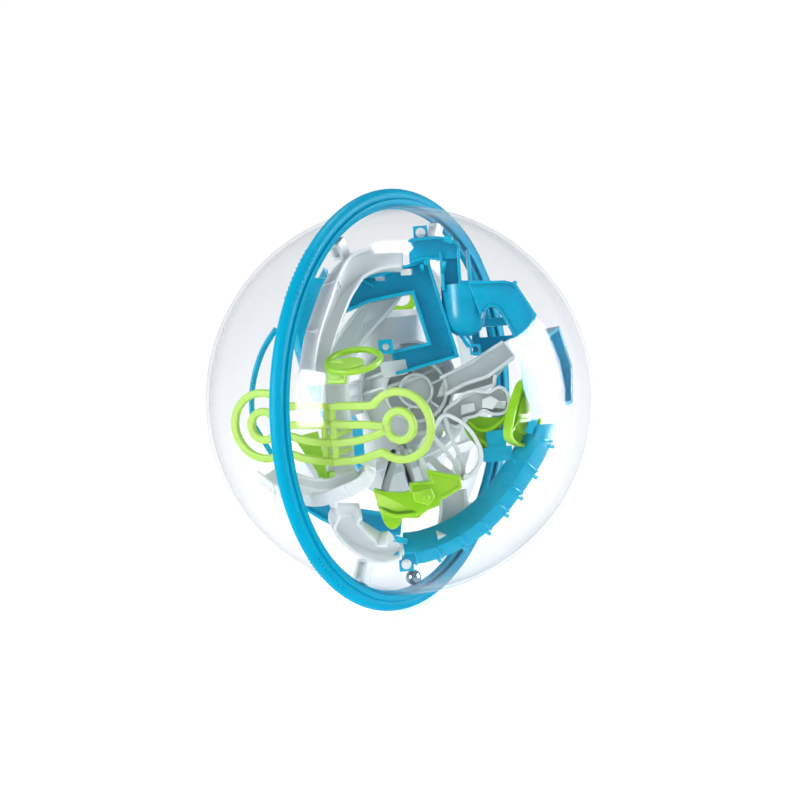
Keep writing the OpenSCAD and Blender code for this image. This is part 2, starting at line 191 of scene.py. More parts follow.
class Value:
    """A shader socket that takes part in sums."""

    def __init__(self, paint, socket):
        self.paint = paint
        self.socket = socket

    def sum(self, operation, first, second):
        settings = {"operation": operation}
        return self.paint.node("ShaderNodeMath", settings, {0: first, 1: second})

    def __add__(self, other):
        return self.sum("ADD", self, other)

    def __radd__(self, other):
        return self.sum("ADD", other, self)

    def __sub__(self, other):
        return self.sum("SUBTRACT", self, other)

    def __rsub__(self, other):
        return self.sum("SUBTRACT", other, self)

    def __mul__(self, other):
        return self.sum("MULTIPLY", self, other)

    def __rmul__(self, other):
        return self.sum("MULTIPLY", other, self)

    def __pow__(self, other):
        return self.sum("POWER", self, other)


class Paint:
    """A material under construction."""

    def __init__(self, name):
        self.material = bpy.data.materials.new(name)
        self.material.use_nodes = True
        self.tree = self.material.node_tree
        self.tree.nodes.clear()

    def node(self, kind, settings=None, inputs=None, output=0):
        """Adds a node: its settings first, then the values or links of its sockets."""
        made = self.tree.nodes.new(kind)
        for key, value in (settings or {}).items():
            setattr(made, key, value)
        for key, value in (inputs or {}).items():
            if isinstance(value, Value):
                self.tree.links.new(value.socket, made.inputs[key])
            else:
                made.inputs[key].default_value = value
        return Value(self, made.outputs[output])

    def noise(self, place, scale, detail=2.0, distortion=0.0):
        return self.node("ShaderNodeTexNoise", None, {
            "Vector": place, "Scale": scale, "Detail": detail, "Distortion": distortion})

    def ramp(self, value, low, high):
        """0 below low, 1 above high and smooth between them."""
        return self.node("ShaderNodeMapRange", {"interpolation_type": "SMOOTHSTEP"}, {
            0: value, 1: low, 2: high, 3: 0.0, 4: 1.0})

    def blend(self, factor, first, second):
        """A colour between two others."""
        return self.node("ShaderNodeMix", {"data_type": "RGBA"}, {
            0: factor, 6: first, 7: second}, output=2)

    def surface(self, shader):
        """Ends the material with its shader."""
        made = self.tree.nodes.new("ShaderNodeOutputMaterial")
        self.tree.links.new(shader.socket, made.inputs["Surface"])
        return self.material


PLASTIC_IOR = 1.49
GLOW_DEPTH = 1.6 * MM
FINE_GRAIN = 0.02 * MM
COARSE_GRAIN = 0.03 * MM
HAZE_COLOUR = (0.29, 0.315, 0.35, 1.0)
DULL_STEEL = (0.24, 0.27, 0.30, 1.0)
FLOOR_MOTTLE = (0.93, 0.94, 0.95, 1.0)
FLOOR_GLOW = 0.52


def moulded_plastic(name, colour, cloud_and_highlight_tone, roughness, glow, shine, grain):
    """Injection-moulded plastic: faint flow clouds, sharp edges paled by a painted highlight, a
    fine mould grain.
    """
    paint = Paint(name)
    place = paint.node("ShaderNodeTexCoord", output="Object")
    stretched = paint.node("ShaderNodeMapping", None, {
        "Vector": place, "Rotation": (0.5, 0.3, 0.9), "Scale": (1.0, 0.35, 1.0)})
    clouds = paint.noise(stretched, 70.0, 3.0, 0.6)
    fine = paint.noise(place, 1500.0, 2.0)
    worn = paint.noise(place, 260.0, 4.0)
    # Painted highlight: sharp edges, found by pointiness, are blended towards the pale colour,
    # varied by the wear noise
    point = paint.node("ShaderNodeNewGeometry", output="Pointiness")
    edge = paint.ramp(point, 0.515, 0.60)
    cloud_mask = paint.ramp(clouds, 0.35, 0.75) * 0.22
    body = paint.blend(cloud_mask, tuple(colour), tuple(cloud_and_highlight_tone))
    tint = paint.blend(edge * (0.45 + 0.35 * worn), body, tuple(cloud_and_highlight_tone))
    rough = roughness + 0.12 * paint.ramp(worn, 0.4, 0.75) + 0.06 * clouds
    bump = paint.node("ShaderNodeBump", None, {
        "Strength": 0.5, "Distance": grain, "Height": fine + 2.0 * clouds})
    return paint.surface(paint.node("ShaderNodeBsdfPrincipled", None, {
        "Base Color": tint, "Roughness": rough, "Normal": bump, "IOR": PLASTIC_IOR,
        "Specular IOR Level": shine,
        "Subsurface Weight": glow, "Subsurface Radius": (1.0, 1.0, 1.0),
        "Subsurface Scale": GLOW_DEPTH}))


def clear_plastic(name, colour):
    """Thin clear plastic: it shines most where it is seen edge on, with a pale haze there."""
    paint = Paint(name)
    place = paint.node("ShaderNodeTexCoord", output="Object")
    facing = paint.node("ShaderNodeLayerWeight", None, {"Blend": 0.5}, output="Facing")
    smears = paint.noise(place, 22.0, 3.0, 1.2)
    scuffs = paint.noise(place, 900.0, 2.0)
    through = paint.node("ShaderNodeBsdfTransparent", None, {"Color": tuple(colour)})
    haze = paint.node("ShaderNodeBsdfPrincipled", None, {
        "Base Color": HAZE_COLOUR, "Roughness": 0.6})
    haze_amount = 0.001 + 0.003 * paint.ramp(smears, 0.4, 0.75) + 0.42 * facing ** 6.0
    veiled = paint.node("ShaderNodeMixShader", None, {0: haze_amount, 1: through, 2: haze})
    bump = paint.node("ShaderNodeBump", None, {
        "Strength": 0.1, "Distance": 0.00001, "Height": scuffs + 3.0 * smears})
    shine = paint.node("ShaderNodeBsdfGlossy", None, {
        "Color": WHITE, "Roughness": 0.02, "Normal": bump})
    shine_amount = 0.004 + 0.28 * facing ** 6.5
    return paint.surface(paint.node("ShaderNodeMixShader", None, {
        0: shine_amount, 1: veiled, 2: shine}))


def polished_steel(name, colour):
    """Bearing steel: bright, with faint rolling scratches."""
    paint = Paint(name)
    place = paint.node("ShaderNodeTexCoord", output="Object")
    stretched = paint.node("ShaderNodeMapping", None, {
        "Vector": place, "Rotation": (0.4, 0.7, 0.2), "Scale": (1.0, 14.0, 1.0)})
    scratches = paint.noise(stretched, 420.0, 4.0, 0.4)
    dull = paint.noise(place, 300.0, 3.0)
    tint = paint.blend(paint.ramp(dull, 0.4, 0.7) * 0.4, tuple(colour), DULL_STEEL)
    bump = paint.node("ShaderNodeBump", None, {
        "Strength": 0.15, "Distance": 0.000008, "Height": scratches})
    return paint.surface(paint.node("ShaderNodeBsdfPrincipled", None, {
        "Base Color": tint, "Metallic": 1.0, "Normal": bump,
        "Roughness": 0.10 + 0.10 * paint.ramp(scratches, 0.5, 0.8)}))


def floor_finish(name, colour):
    """Matt studio floor."""
    paint = Paint(name)
    place = paint.node("ShaderNodeTexCoord", output="Object")
    mottle = paint.noise(place, 3.0, 3.0)
    tint = paint.blend(mottle * 0.05, tuple(colour), FLOOR_MOTTLE)
    return paint.surface(paint.node("ShaderNodeBsdfPrincipled", None, {
        "Base Color": tint, "Roughness": 0.9, "Specular IOR Level": 0.2,
        "Emission Color": WHITE, "Emission Strength": FLOOR_GLOW}))


# Colour, pale colour for the flow clouds and the painted edge highlight, roughness, glow, shine
# and height of the grain
PLASTICS = {
    "blue": ("blue", "blue_pale", 0.24, 0.10, 0.12, FINE_GRAIN),
    "green": ("green", "green_pale", 0.26, 0.30, 0.15, FINE_GRAIN),
    # The front rails' green is painted paler, for the light that falls on them near the shell
    "rail": ("rail", "green_pale", 0.32, 0.30, 0.08, FINE_GRAIN),
    "white": ("white", "white_pale", 0.33, 0.16, 0.16, FINE_GRAIN),
    "rim": ("rim", "blue", 0.36, 0.05, 0.02, COARSE_GRAIN),
}
OTHER_FINISHES = {
    "clear": (clear_plastic, "clear_plastic"),
    "steel": (polished_steel, "polished_steel"),
    "floor": (floor_finish, "floor_finish"),
}
FINISHES = {}


def finish_for(key):
    """The material of one finish, made once."""
    if key not in FINISHES:
        tones = sizes("colours")
        if key in PLASTICS:
            colour, cloud_and_highlight_tone, *feel = PLASTICS[key]
            FINISHES[key] = moulded_plastic(
                key + "_plastic", getattr(tones, colour), getattr(tones, cloud_and_highlight_tone), *feel)
        else:
            maker, name = OTHER_FINISHES[key]
            FINISHES[key] = maker(name, getattr(tones, key))
    return FINISHES[key]


# ---------- Pieces ----------


def add_piece(name, mesh, finish, body=MAZE, stands_for=(), smooth=True):
    """Puts a finished mesh in the scene, riding on its body."""
    obj = bpy.data.objects.new(name, mesh)
    bpy.context.scene.collection.objects.link(obj)
    mesh.materials.clear()
    mesh.materials.append(finish_for(finish))
    if smooth:
        mesh.shade_smooth()
    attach(obj, body)
    if stands_for:
        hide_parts(*stands_for)
    return obj


def mesh_from(bm, name):
    """Closes a bmesh into a mesh, its faces outwards."""
    bmesh.ops.recalc_face_normals(bm, faces=bm.faces)
    mesh = bpy.data.meshes.new(name)
    bm.to_mesh(mesh)
    bm.free()
    return mesh


BEVEL_FROM = math.radians(34.0)
WELD_GAP = 0.002 * MM
FLAT_ANGLE = math.radians(0.6)


def round_edges(obj, radius, segments=2):
    """Rounds a piece's sharp edges."""
    bevel = obj.modifiers.new("round", "BEVEL")
    bevel.width = radius
    bevel.segments = segments
    bevel.limit_method = "ANGLE"
    bevel.angle_limit = BEVEL_FROM
    bevel.use_clamp_overlap = True
    bevel.harden_normals = True
    bevel.miter_outer = "MITER_ARC"


def merged_copy(node):
    """A copy of a CAD node's mesh as one closed surface of flat faces."""
    bm = bmesh.new()
    bm.from_mesh(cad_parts[node].data)
    bmesh.ops.remove_doubles(bm, verts=bm.verts, dist=WELD_GAP)
    bmesh.ops.dissolve_limit(bm, angle_limit=FLAT_ANGLE, verts=bm.verts, edges=bm.edges)
    mesh = bpy.data.meshes.new(node + "_moulded")
    bm.to_mesh(mesh)
    bm.free()
    return mesh


# ---------- Places inside the ball ----------

def place(round_deg, rise_deg, depth, spin=0.0, lean=0.0):
    """A place inside the ball, in millimetres: +Z outwards and +Y upwards."""
    turn = (Matrix.Rotation(math.radians(round_deg), 4, "Z")
            @ Matrix.Rotation(math.radians(rise_deg), 4, "Y"))
    face = (Matrix.Rotation(math.radians(-90), 4, "Z")
            @ Matrix.Rotation(math.radians(90), 4, "X"))
    own = (Matrix.Rotation(math.radians(spin), 4, "Z")
           @ Matrix.Rotation(math.radians(lean), 4, "X"))
    return turn @ face @ Matrix.Translation((0, 0, depth)) @ own


FRONT_ROUND = 34
FRONT_RISE = 8


def front(depth):
    """A place square to the maze's front."""
    return place(FRONT_ROUND, FRONT_RISE, depth)


def bend(a, b, c, d, t):
    """A smooth curve's point between b and c; a and d are the chosen points beside them."""
    return 0.5 * (2 * b + (c - a) * t + (2 * a - 5 * b + 4 * c - d) * t * t
                  + (3 * b - a - 3 * c + d) * t * t * t)


def ellipse_point(centre, across, up, angle):
    """The point of an ellipse at an angle in degrees."""
    turn = math.radians(angle)
    return (centre[0] + across * math.cos(turn), centre[1] + up * math.sin(turn))


def ellipse(centre, across, up, angles):
    """Points of an ellipse at angles in degrees."""
    return [ellipse_point(centre, across, up, angle) for angle in angles]


def on(depth, round_deg, rise_deg, lean=0.0):
    """A point of a track's path, in millimetres, and the track's lean."""
    rise, turn = math.radians(rise_deg), math.radians(round_deg)
    point = Vector((-math.cos(rise) * math.cos(turn), -math.cos(rise) * math.sin(turn),
                    math.sin(rise))) * depth
    return (point.x, point.y, point.z, lean)


class Track:
    """A curved track's path; its floor's underside runs along it."""

    def __init__(self, points, steps=8):
        self.points = []
        last = len(points) - 1
        for i in range(last):
            a, b = points[max(i - 1, 0)], points[i]
            c, d = points[i + 1], points[min(i + 2, last)]
            for j in range(steps):
                self.points.append([bend(*row, j / steps) for row in zip(a, b, c, d)])
        self.points.append(list(points[last]))

    def station(self, share):
        """The track's frame at a share of its length: +X across, +Y along, +Z open."""
        count = len(self.points) - 1
        where = max(0.0, min(1.0, share)) * count
        i = min(int(where), count - 1)
        mix = where - i
        low, high = self.points[i], self.points[i + 1]
        here = [a + (b - a) * mix for a, b in zip(low, high)]
        spot = Vector(here[:3])
        along = (Vector(high[:3]) - Vector(low[:3])).normalized()
        side = along.cross(spot.normalized()).normalized()
        up = side.cross(along)
        lean = math.radians(here[3])
        opening = up * math.cos(lean) + side * math.sin(lean)
        across = side * math.cos(lean) - up * math.sin(lean)
        there = Matrix((across, along, opening)).transposed().to_4x4()
        there.translation = spot
        return there


TRACKS = {
    "white_top": Track([
        on(81, 0, 15, 90), on(81, 0, 28, 90), on(81, 1, 43, 85), (-50, -1, 63, 75),
        (-39, -4, 70, 60), (-30, -13, 73, 50), (-24, -24, 73, 45)]),
    "white_bottom": Track([
        on(82, 27, -46, 10), on(82, 18, -48, 20), on(81, 8, -42, 35),
        on(81, 5, -34, 40), on(81, 10, -28, 35)]),
    "bowl": Track([
        on(82, -26, -19, -90), on(82, -14, -24, -90), on(82, 0, -26, -90),
        on(80, 11, -24, -90), on(74, 19, -22, -90), on(66, 21, -19, -90)]),
    "blue_top": Track([
        (-23, -26, 73, 45), (-19, -34, 72, 30), (-15, -41, 70, 15), (-11, -48, 67, 5)]),
    "blue_upper": Track([
        on(80, 96, 40, 35), on(80, 92, 36, 35), on(80, 87, 29, 30), on(80, 84, 23, 25)]),
    "blue_right": Track([
        on(81, 84, -6, -75), on(81, 83, -12, -75), on(81, 77, -20, -75),
        on(81, 72, -27, -75), on(81, 67, -34, -75), on(81, 61, -40, -75),
        on(81, 51, -46, -75), on(81, 39, -50, -75), on(81, 30, -50, -70)]),
    "far_blue": Track([
        on(80, -98, 50, 20), on(80, -104, 34, 10), on(80, -112, 14, 0),
        on(80, -120, -8, 0), on(80, -130, -30, 10), on(80, -146, -44, 20)]),
    "far_white": Track([
        on(81, 180, 62, -90), on(81, 180, 38, -90), on(81, 180, 16, -90),
        on(81, 180, -6, -90), on(81, 180, -28, -90), on(81, 180, -51, -90)]),
}

# ---------- Geometry Nodes ----------


class Growth:
    """A Geometry Nodes tree under construction."""

    def __init__(self, name, inputs):
        self.tree = bpy.data.node_groups.new(name, "GeometryNodeTree")
        face = self.tree.interface
        face.new_socket(name="Geometry", in_out="INPUT", socket_type="NodeSocketGeometry")
        self.sockets = {}
        for label, kind in inputs.items():
            made = face.new_socket(name=label, in_out="INPUT", socket_type="NodeSocket" + kind)
            self.sockets[label] = made.identifier
        face.new_socket(name="Geometry", in_out="OUTPUT", socket_type="NodeSocketGeometry")
        self.given = self.tree.nodes.new("NodeGroupInput")

    def taken(self, label):
        """The socket of one of the tree's inputs."""
        return self.given.outputs[label]

    def node(self, kind, settings=None, inputs=None, output=0):
        """Adds a node: its settings first, then the values or links of its sockets."""
        made = self.tree.nodes.new(kind)
        for key, value in (settings or {}).items():
            setattr(made, key, value)
        for key, value in (inputs or {}).items():
            if isinstance(value, bpy.types.NodeSocket):
                self.tree.links.new(value, made.inputs[key])
            else:
                made.inputs[key].default_value = value
        return made.outputs[output]

    def close(self, geometry):
        """Ends the tree: real geometry, in the piece's material."""
        real = self.node("GeometryNodeRealizeInstances", None, {"Geometry": geometry})
        dressed = self.node("GeometryNodeSetMaterial", None, {
            "Geometry": real, "Material": self.taken("Material")})
        end = self.tree.nodes.new("NodeGroupOutput")
        self.tree.links.new(dressed, end.inputs[0])
        return self


def grown_mesh(growth, base, values, name):
    """Runs a tree on a base mesh and returns the result as a plain mesh."""
    carrier = bpy.data.objects.new(name + "_base", base)
    bpy.context.scene.collection.objects.link(carrier)
    modifier = carrier.modifiers.new("grow", "NODES")
    modifier.node_group = growth.tree
    for label, value in values.items():
        modifier[growth.sockets[label]] = value
    graph = bpy.context.evaluated_depsgraph_get()
    mesh = bpy.data.meshes.new_from_object(carrier.evaluated_get(graph))
    mesh.name = name
    bpy.data.objects.remove(carrier)
    if not mesh.polygons:
        raise RuntimeError(name + " has no faces")
    return mesh


STUD_SIDES = 14


def stud_growth():
    """A small shape on every point, turned by the point's own turn attribute."""
    tree = Growth("studs", {
        "Length": "Float", "Width": "Float", "Height": "Float", "Round": "Bool",
        "Material": "Material"})
    bar = tree.node("GeometryNodeMeshCube", None, {"Size": tree.node(
        "ShaderNodeCombineXYZ", None, {
            0: tree.taken("Width"), 1: tree.taken("Length"), 2: tree.taken("Height")})})
    half = tree.node("ShaderNodeMath", {"operation": "MULTIPLY"}, {
        0: tree.taken("Width"), 1: 0.5})
    pin = tree.node("GeometryNodeMeshCylinder", None, {
        "Vertices": STUD_SIDES, "Radius": half, "Depth": tree.taken("Height")})
    shape = tree.node("GeometryNodeSwitch", {"input_type": "GEOMETRY"}, {
        "Switch": tree.taken("Round"), "False": bar, "True": pin})
    turn = tree.node("GeometryNodeInputNamedAttribute", {"data_type": "FLOAT_VECTOR"}, {
        "Name": "turn"})
    rotation = tree.node("FunctionNodeEulerToRotation", None, {0: turn})
    studs = tree.node("GeometryNodeInstanceOnPoints", None, {
        "Points": tree.taken("Geometry"), "Instance": shape, "Rotation": rotation})
    return tree.close(studs)


GROWTHS = {}


def studs(name, frames, width, length, height, rounded, finish):
    """A mesh of like bars or pins, one at each frame (in millimetres)."""
    if "studs" not in GROWTHS:
        GROWTHS["studs"] = stud_growth()
    base = bpy.data.meshes.new(name + "_points")
    base.from_pydata([spot.translation * MM for spot in frames], [], [])
    turns = base.attributes.new("turn", "FLOAT_VECTOR", "POINT")
    for i, spot in enumerate(frames):
        turns.data[i].vector = spot.to_euler("XYZ")[:]
    return grown_mesh(GROWTHS["studs"], base, {
        "Length": length * MM, "Width": width * MM, "Height": height * MM,
        "Round": rounded, "Material": finish_for(finish)}, name)


# ---------- Clear ball ----------

SHELL_STEPS = 128
SHELL_ARC_STEPS = 44
RIM_STEPS = 256
ON_AXIS = 1e-7


def lathe(profile, steps, axis_turn, name):
    """Turns a closed outline of (radius, height) round Z, then to its axis."""
    bm = bmesh.new()
    rings = []
    for k in range(steps):
        angle = 2 * math.pi * k / steps
        rings.append([
            bm.verts.new((r * math.cos(angle), r * math.sin(angle), h)) if r > ON_AXIS else None
            for r, h in profile])
    poles = {j: bm.verts.new((0, 0, h)) for j, (r, h) in enumerate(profile) if r <= ON_AXIS}
    count = len(profile)
    for k in range(steps):
        here, there = rings[k], rings[(k + 1) % steps]
        for j in range(count):
            nxt = (j + 1) % count
            ends = [here[j] or poles[j], there[j] or poles[j],
                    there[nxt] or poles[nxt], here[nxt] or poles[nxt]]
            corners = [v for i, v in enumerate(ends) if v not in ends[:i]]
            if len(corners) > 2:
                bm.faces.new(corners)
    bmesh.ops.transform(bm, matrix=axis_turn, verts=bm.verts)
    return mesh_from(bm, name)


def arc(radius, start, stop, steps):
    """Points of an arc about the ball's centre, as (radius, height); degrees from the seam."""
    return [(radius * math.cos(math.radians(start + (stop - start) * i / steps)),
             radius * math.sin(math.radians(start + (stop - start) * i / steps)))
            for i in range(steps + 1)]


def shell_outline(shell):
    """Outline of half a shell with its rolled edge flange."""
    inner = shell.radius - shell.wall
    low_in = math.degrees(math.asin(shell.seam / inner))
    lip = shell.seam + shell.flange
    low_out = math.degrees(math.asin(lip / shell.radius))
    soft = 0.3 * MM
    outer = arc(shell.radius, 90, low_out + 0.3, SHELL_ARC_STEPS)
    edge = [(shell.radius + soft, lip), (FLANGE_R - soft, lip), (FLANGE_R, lip - soft),
            (FLANGE_R, shell.seam + soft), (FLANGE_R - soft, shell.seam)]
    inside = arc(inner, low_in, 90, SHELL_ARC_STEPS)
    outline = outer + edge + inside
    outline[0] = (0.0, shell.radius)
    outline[-1] = (0.0, inner)
    return outline


def turned_to(side):
    """Stands a lathed piece up, so that its +Z is the maze's -Y or +Y side."""
    return Matrix.Rotation(math.radians(90 if side < 0 else -90), 4, "X")


class MakeShells(bpy.types.Operator):
    """Make the two halves of the clear ball"""
    bl_idname = "tilt_maze.shells"
    bl_label = "Clear ball"

    def execute(self, context):
        outline = shell_outline(sizes("shell"))
        for node, side in (("shell_near", -1), ("shell_far", 1)):
            mesh = lathe(outline, SHELL_STEPS, turned_to(side), node + "_clear")
            add_piece(node + "_clear", mesh, "clear", stands_for=(node,))
        return {"FINISHED"}


# ---------- Grip rim ----------

LIP_R = 98.2 * MM            # the rim's lip over the shells
LIP_LOW = 2.9 * MM
GROOVE_R = 100.3 * MM        # the groove for the shells' flanges
GROOVE_LOW = 1.25 * MM
SHARP_FROM = math.radians(38)
MARK_PATCHES = (36, 128, 216, 308)
MARK_STEP = 1.5              # degrees from one dash to the next
MARK_UP = 62                 # degrees round the bead


def rim_outline(rim):
    """Outline of half the rim: round bead, thumb step, strip and inner lip."""
    bead_at = rim.radius - rim.bead
    inner = sizes("shell").radius - sizes("shell").wall
    face = rim.half_width
    bead = ellipse((bead_at, 0.0), rim.bead, rim.bead, range(0, 128, 8))
    step_r, step_h = bead[-1]
    return [(inner, 0.0)] + bead + [
        (step_r - 0.15 * MM, step_h + 0.1 * MM),
        (step_r - 0.25 * MM, face - 0.25 * MM), (step_r - 0.5 * MM, face),
        (LIP_R + 0.4 * MM, face), (LIP_R, face - 0.3 * MM), (LIP_R, LIP_LOW),
        (GROOVE_R, LIP_LOW - 0.05 * MM), (GROOVE_R, GROOVE_LOW), (inner, GROOVE_LOW)]


class MakeRim(bpy.types.Operator):
    """Make the two halves of the grip rim, with raised dashes"""
    bl_idname = "tilt_maze.rim"
    bl_label = "Grip rim"

    def execute(self, context):
        rim = sizes("rim")
        outline = rim_outline(rim)
        for node, side in (("rim_near", -1), ("rim_far", 1)):
            mesh = lathe(outline, RIM_STEPS, turned_to(side), node + "_moulded")
            add_piece(node + "_moulded", mesh, "rim", stands_for=(node,))
            mesh.set_sharp_from_angle(angle=SHARP_FROM)
            frames = [bead_frame(rim, patch + MARK_STEP * k, MARK_UP, side)
                      for patch in MARK_PATCHES for k in range(rim.marks)]
            marks = studs(node + "_dashes", frames, 0.7, 1.8, 0.5, False, "rim")
            add_piece(node + "_dashes", marks, "rim")
        return {"FINISHED"}


def bead_frame(rim, angle, up, side):
    """A frame on the bead's surface, in millimetres: +Z off the surface."""
    bead = rim.bead / MM
    at_r = rim.radius / MM - bead
    turn = Matrix.Rotation(math.radians(angle), 4, "Y")
    tip = Matrix.Rotation(math.radians(up * side), 4, "Z")
    out = Matrix.Rotation(math.radians(90), 4, "Y")
    return (turn @ Matrix.Translation((at_r, 0, 0)) @ tip
            @ Matrix.Translation((bead, 0, 0)) @ out)


# ---------- Steel ball ----------

class MakeSteelBall(bpy.types.Operator):
    """Make the loose steel ball"""
    bl_idname = "tilt_maze.steel_ball"
    bl_label = "Steel ball"

    def execute(self, context):
        low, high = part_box("steel_ball")
        bm = bmesh.new()
        bmesh.ops.create_icosphere(bm, subdivisions=5, radius=(high.z - low.z) / 2)
        bmesh.ops.translate(bm, vec=(low + high) / 2, verts=bm.verts)
        mesh = mesh_from(bm, "steel_ball_polished")
        add_piece("steel_ball_polished", mesh, "steel", LOOSE, ("steel_ball",))
        return {"FINISHED"}


# ---------- Mouldings made of walls and slabs ----------

def seg_side(a, b):
    """The direction to the left of the way from a to b."""
    along = (b - a).normalized()
    return Vector((-along.y, along.x))


def moved(points, i, aside, closed=False):
    """A polyline's point moved sideways, with mitred corners."""
    count = len(points)
    before = points[(i - 1) % count] if closed or i else points[0]
    after = points[(i + 1) % count] if closed or i < count - 1 else points[-1]
    here = points[i]
    first = seg_side(before, here) if before != here else seg_side(here, after)
    second = seg_side(here, after) if after != here else first
    mitre = first + second
    return here + mitre * (2 * aside / max(mitre.dot(mitre), 0.6))


def rounded(points, closed=False, steps=6):
    """A smooth line through chosen points."""
    spots = [Vector(p) for p in points]
    count = len(spots)
    pieces = count if closed else count - 1
    line = []
    for i in range(pieces):
        if closed:
            a, b, c, d = (spots[(i + k) % count] for k in (-1, 0, 1, 2))
        else:
            a, b = spots[max(i - 1, 0)], spots[i]
            c, d = spots[i + 1], spots[min(i + 2, count - 1)]
        line += [bend(a, b, c, d, j / steps) for j in range(steps)]
    return line if closed else line + [spots[-1]]


class Moulding:
    """Walls, slabs and pins built in one plane, in millimetres."""

    def __init__(self, spot):
        self.bm = bmesh.new()
        self.spot = spot

    def slab(self, outline, low, high):
        """A flat plate between two heights."""
        middle = self.spot @ Matrix.Translation((0, 0, (low + high) / 2))
        add_prism(self.bm, [tuple(p)[:2] for p in outline], high - low, middle)
        return self

    def wall(self, points, thick, low, high, closed=False):
        """A wall along a line, between two heights."""
        line = [Vector(p) for p in points]
        count = len(line)
        left = [moved(line, i, thick / 2, closed) for i in range(count)]
        right = [moved(line, i, -thick / 2, closed) for i in range(count)]
        levels = []
        for row, height in ((left, low), (left, high), (right, high), (right, low)):
            levels.append([self.bm.verts.new((self.spot @ Vector((p.x, p.y, height))) * MM)
                           for p in row])
        for i in range(count if closed else count - 1):
            j = (i + 1) % count
            for a, b in ((0, 1), (1, 2), (2, 3), (3, 0)):
                self.bm.faces.new((levels[a][i], levels[a][j], levels[b][j], levels[b][i]))
        if not closed:
            self.bm.faces.new([levels[k][0] for k in range(4)])
            self.bm.faces.new([levels[k][-1] for k in (3, 2, 1, 0)])
        return self

    def pin(self, x, y, radius, low, high, sides=20):
        """A round pin that stands on the plane."""
        angles = [360 * k / sides for k in range(sides)]
        return self.slab(ellipse((x, y), radius, radius, angles), low, high)

    def cup(self, x, y, profile, sides=40):
        """A thin cup round a line along the plane's +Y, from (radius, rise, depth) rows."""
        rings = []
        for radius, rise, depth in profile:
            rings.append([self.bm.verts.new((self.spot @ Vector((
                x + radius * math.cos(2 * math.pi * k / sides), y + rise,
                depth + radius * math.sin(2 * math.pi * k / sides)))) * MM)
                for k in range(sides)])
        for low, high in zip(rings, rings[1:]):
            for k in range(sides):
                self.bm.faces.new((low[k], low[(k + 1) % sides],
                                   high[(k + 1) % sides], high[k]))
        self.bm.faces.new(rings[0])
        self.bm.faces.new(list(reversed(rings[-1])))
        return self

    def finish(self, name, plastic, stands_for, edge=0.3, segments=2):
        """Makes the piece, with its edges rounded."""
        obj = add_piece(name, mesh_from(self.bm, name), plastic, stands_for=stands_for)
        round_edges(obj, edge * MM, segments)


# ---------- Moulded tracks ----------

def plastic_of(node):
    """Which plastic a maze node is moulded in."""
    for colour in ("blue", "green"):
        if colour in node:
            return colour
    return "blue" if node.startswith("clip") else "white"


OWN_SHAPES = {
    "shell_near", "shell_far", "rim_near", "rim_far", "steel_ball", "blue_square_track",
    "blue_cup", "blue_column", "blue_track_upper", "hub_drum", "hub_arm_track",
    "hub_platform", "white_paddle", "green_wave", "green_wave_lower", "green_saddle",
    "green_leaf", "blue_track_top", "green_oval", "green_rails",
}


class MakeTracks(bpy.types.Operator):
    """Make the moulded tracks, walls, clips and pegs, with rounded edges"""
    bl_idname = "tilt_maze.tracks"
    bl_label = "Moulded tracks"

    def execute(self, context):
        plastic = sizes("plastic")
        for node in sorted(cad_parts):
            if node in OWN_SHAPES:
                continue
            obj = add_piece(
                node + "_moulded", merged_copy(node), plastic_of(node), stands_for=(node,))
            if node == "far_green_rails":
                round_edges(obj, plastic.rail_edge, 3)
            else:
                round_edges(obj, plastic.round_edge)
        return {"FINISHED"}


class MakeSquareTrack(bpy.types.Operator):
    """Make the square track that hooks round the maze's window"""
    bl_idname = "tilt_maze.square_track"
    bl_label = "Square track"

    def execute(self, context):
        outer = [(-34, 47), (-23, 54), (-13, 60.5), (-4, 61), (4, 63), (18, 66.3),
                 (29.2, 19.2), (-1, 12.8)]
        inner = [(-34, 41), (-12, 48.8), (10, 51.6), (16.2, 26), (-1.6, 23.4)]
        track = Moulding(front(36))
        track.slab(outer + list(reversed(inner)), 0, 1.6)
        track.wall(outer, 1.5, 0, 10).wall(inner, 1.5, 0, 10)
        track.wall([(-1, 12.8), (-1.6, 23.4)], 1.5, 0, 3)
        track.slab([(16, 66), (19, 67), (19.6, 64), (16.8, 63.4)], 6, 12)
        track.wall([(-14, 59.4), (-9, 56)], 1.5, 0, 5)
        track.finish("square_track", "blue", ("blue_square_track",))
        return {"FINISHED"}


